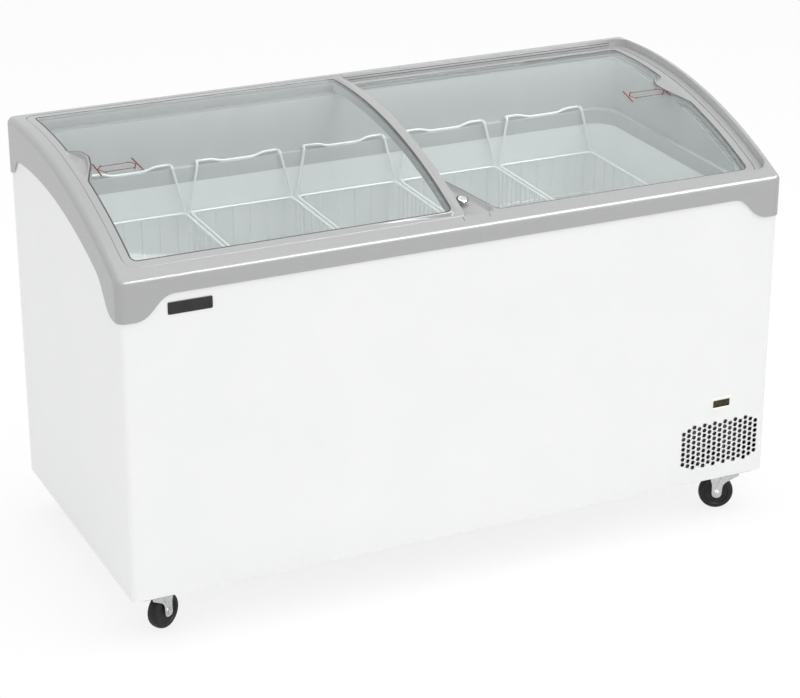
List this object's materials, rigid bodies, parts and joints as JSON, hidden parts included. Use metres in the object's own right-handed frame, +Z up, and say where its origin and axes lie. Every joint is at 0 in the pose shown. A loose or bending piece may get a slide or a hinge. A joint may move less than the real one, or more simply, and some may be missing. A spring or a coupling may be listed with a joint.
{
  "type": "ice cream freezer",
  "caption": "Chest freezer with an arched top frame, two curved sliding glass lids, hanging wire baskets, a front air grille with a thermometer, and swivel castors.",
  "frame": {"origin": "on the floor, under the centre of the footprint", "axes": "+X along the width to the right as seen from the front, -Y to the front, +Z up"},
  "size_m": [1.44, 0.68, 0.895],
  "materials": {
    "white_sheet": "smooth white coating",
    "inner_white": "embossed, white coated",
    "grey_plastic": "fine satin",
    "clear_glass": "polished",
    "cream_plastic": "gloss",
    "dark_window": "gloss",
    "white_wire": "plastic coated",
    "foam": "rigid foam",
    "zinc": "zinc plated",
    "black_wheel": "matt",
    "black_plastic": "satin",
    "lock_metal": "bright",
    "black_steel": "satin black",
    "fin_metal": "bare",
    "copper_tube": "bare"
  },
  "bodies": {
    "cabinet": {"top_frame": "grey_plastic", "front_panel": "white_sheet", "left_panel": "white_sheet", "right_panel": "white_sheet", "back_panel": "white_sheet", "vent_cover": "zinc", "cable_gland": "black_plastic", "base_pan": "white_sheet", "inner_liner": "inner_white", "inner_collar": "grey_plastic", "evaporator_coil": "fin_metal", "bulkhead": "zinc", "insulation_foam": "foam", "thermo_bezel": "cream_plastic", "thermo_lens": "dark_window", "compressor": "black_steel", "compressor_feet": "black_wheel", "relay_box": "black_plastic", "condenser": "fin_metal", "fan_shroud": "zinc", "fan_motor": "black_steel", "discharge_pipe": "copper_tube", "castor_plate_front_left": "zinc", "castor_plate_front_right": "zinc", "castor_plate_back_left": "zinc", "castor_plate_back_right": "zinc"},
    "left_lid": {"left_lid_frame": "grey_plastic", "left_lid_glass": "clear_glass", "left_lid_gliders": "grey_plastic"},
    "right_lid": {"right_lid_frame": "grey_plastic", "right_lid_glass": "clear_glass", "right_lid_gliders": "grey_plastic", "lock_barrel": "lock_metal"},
    "lock_plug": {"lock_plug": "lock_metal"},
    "fan_rotor": {"fan_rotor": "black_plastic"},
    "basket_1": {"basket_1": "white_wire"},
    "basket_2": {"basket_2": "white_wire"},
    "basket_3": {"basket_3": "white_wire"},
    "basket_4": {"basket_4": "white_wire"},
    "basket_5": {"basket_5": "white_wire"},
    "fork_front_left": {"castor_fork_front_left": "zinc"},
    "wheel_front_left": {"castor_wheel_front_left": "black_wheel"},
    "brake_front_left": {"castor_brake_front_left": "black_plastic"},
    "fork_front_right": {"castor_fork_front_right": "zinc"},
    "wheel_front_right": {"castor_wheel_front_right": "black_wheel"},
    "brake_front_right": {"castor_brake_front_right": "black_plastic"},
    "fork_back_left": {"castor_fork_back_left": "zinc"},
    "wheel_back_left": {"castor_wheel_back_left": "black_wheel"},
    "fork_back_right": {"castor_fork_back_right": "zinc"},
    "wheel_back_right": {"castor_wheel_back_right": "black_wheel"}
  },
  "joints": [
    {"name": "left_lid_slide", "type": "slide", "parent": "cabinet", "child": "left_lid", "axis": [1, 0, 0], "range_m": [0, 0.66]},
    {"name": "right_lid_slide", "type": "slide", "parent": "cabinet", "child": "right_lid", "axis": [-1, 0, 0], "range_m": [0, 0.66]},
    {"name": "lock_turn", "type": "hinge", "parent": "right_lid", "child": "lock_plug", "pos_m": [0.03025, -0.2482, 0.78538], "axis": [0, -0.3849, 0.9229], "range_deg": [0, 90]},
    {"name": "basket_1_lift", "type": "slide", "parent": "cabinet", "child": "basket_1", "axis": [0, 0, 1], "range_m": [0, 0.024]},
    {"name": "basket_2_lift", "type": "slide", "parent": "cabinet", "child": "basket_2", "axis": [0, 0, 1], "range_m": [0, 0.024]},
    {"name": "basket_3_lift", "type": "slide", "parent": "cabinet", "child": "basket_3", "axis": [0, 0, 1], "range_m": [0, 0.024]},
    {"name": "basket_4_lift", "type": "slide", "parent": "cabinet", "child": "basket_4", "axis": [0, 0, 1], "range_m": [0, 0.024]},
    {"name": "basket_5_lift", "type": "slide", "parent": "cabinet", "child": "basket_5", "axis": [0, 0, 1], "range_m": [0, 0.024]},
    {"name": "swivel_front_left", "type": "hinge", "parent": "cabinet", "child": "fork_front_left", "pos_m": [-0.662, -0.296, 0.0897], "axis": [0, 0, 1], "continuous": true},
    {"name": "spin_front_left", "type": "hinge", "parent": "fork_front_left", "child": "wheel_front_left", "pos_m": [-0.63642, -0.28032, 0.0375], "axis": [-0.5225, 0.8526, 0], "continuous": true},
    {"name": "brake_front_left", "type": "hinge", "parent": "fork_front_left", "child": "brake_front_left", "pos_m": [-0.6296, -0.27614, 0.08], "axis": [0.5225, -0.8526, 0], "range_deg": [0, 12]},
    {"name": "swivel_front_right", "type": "hinge", "parent": "cabinet", "child": "fork_front_right", "pos_m": [0.662, -0.296, 0.0897], "axis": [0, 0, 1], "continuous": true},
    {"name": "spin_front_right", "type": "hinge", "parent": "fork_front_right", "child": "wheel_front_right", "pos_m": [0.63449, -0.28404, 0.0375], "axis": [-0.3987, -0.9171, 0], "continuous": true},
    {"name": "brake_front_right", "type": "hinge", "parent": "fork_front_right", "child": "brake_front_right", "pos_m": [0.62715, -0.28085, 0.08], "axis": [0.3987, 0.9171, 0], "range_deg": [0, 12]},
    {"name": "swivel_back_left", "type": "hinge", "parent": "cabinet", "child": "fork_back_left", "pos_m": [-0.662, 0.296, 0.0897], "axis": [0, 0, 1], "continuous": true},
    {"name": "spin_back_left", "type": "hinge", "parent": "fork_back_left", "child": "wheel_back_left", "pos_m": [-0.63459, 0.2838, 0.0375], "axis": [0.4067, 0.9135, 0], "continuous": true},
    {"name": "swivel_back_right", "type": "hinge", "parent": "cabinet", "child": "fork_back_right", "pos_m": [0.662, 0.296, 0.0897], "axis": [0, 0, 1], "continuous": true},
    {"name": "spin_back_right", "type": "hinge", "parent": "fork_back_right", "child": "wheel_back_right", "pos_m": [0.63399, 0.28525, 0.0375], "axis": [0.3584, -0.9336, 0], "continuous": true},
    {"name": "fan_spin", "type": "hinge", "parent": "cabinet", "child": "fan_rotor", "pos_m": [0.6, -0.24, 0.194], "axis": [0, 1, 0], "continuous": true}
  ]
}
